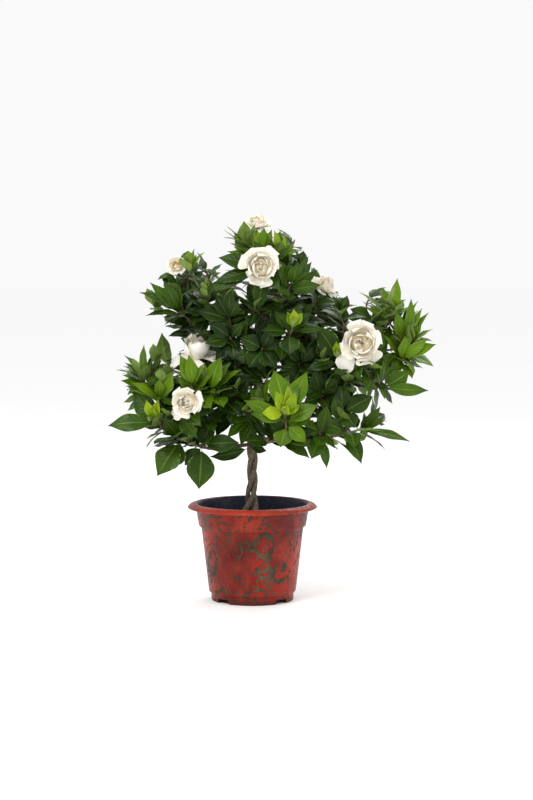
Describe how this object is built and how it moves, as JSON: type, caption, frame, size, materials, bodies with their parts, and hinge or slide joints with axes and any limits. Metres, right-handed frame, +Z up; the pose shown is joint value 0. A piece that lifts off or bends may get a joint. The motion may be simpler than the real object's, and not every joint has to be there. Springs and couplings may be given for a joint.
{
  "type": "potted gardenia",
  "caption": "Gardenia shrub on a twisted stem, with pointed glossy leaves and double cream-white blooms, in a round tapered nursery pot.",
  "frame": {"origin": "on the ground, under the pot's axis", "axes": "+Z up, -Y towards the plant's front, +X to the right as seen from the front"},
  "size_m": [0.447, 0.2869, 0.5313],
  "materials": {
    "pot": "semi-gloss red, mottled grey-green",
    "soil": "matt potting bark and peat",
    "stems": "grey-brown bark",
    "leaf": "glossy dark green, paler below",
    "leaf_fresh": "glossy mid green",
    "leaf_young": "soft gloss yellow-green",
    "bloom": "satin cream white"
  },
  "bodies": {
    "root": {"pot": "pot", "soil": "soil", "stems": "stems", "bloom_front": "bloom", "bloom_right": "bloom", "bloom_left": "bloom", "bloom_side": "bloom", "bloom_top": "bloom", "bloom_back": "bloom", "bloom_upper_left": "bloom", "spray_top": "leaf_fresh", "spray_front": "leaf", "spray_upper_right": "leaf", "spray_right_shoulder": "leaf", "spray_back_bloom": "leaf", "spray_back_top": "leaf", "spray_middle_right": "leaf", "spray_left_shoulder": "leaf", "spray_upper_left": "leaf", "spray_left_inner": "leaf", "spray_side_bloom": "leaf", "spray_front_left": "leaf_fresh", "spray_front_centre": "leaf_fresh", "spray_left_bloom": "leaf", "spray_far_left": "leaf_fresh", "spray_left_fresh": "leaf_fresh", "spray_low_left": "leaf", "spray_hanging_left": "leaf", "spray_hanging_centre": "leaf", "spray_trunk": "leaf", "spray_centre": "leaf_fresh", "spray_low_middle": "leaf", "spray_low_right": "leaf", "spray_hanging_right": "leaf", "spray_right_dark": "leaf", "spray_right_low": "leaf", "spray_right_bloom": "leaf", "spray_right_inner": "leaf", "spray_right_back": "leaf", "spray_right_top": "leaf_fresh", "spray_far_right": "leaf_fresh", "spray_middle": "leaf", "spray_middle_left": "leaf", "spray_centre_left": "leaf", "spray_inner_right": "leaf", "spray_inner_low": "leaf", "spray_back_left": "leaf", "spray_back_right": "leaf", "spray_back_low": "leaf", "spray_back_middle": "leaf", "spray_back_far_left": "leaf", "spray_back_far_right": "leaf", "spray_back_upper_left": "leaf", "young_top": "leaf_young", "young_top_right": "leaf_young", "young_left_inner": "leaf_young", "young_middle_right": "leaf_young", "young_low_left": "leaf_young", "young_centre": "leaf_young", "young_right_inner": "leaf_young"}
  },
  "joints": []
}
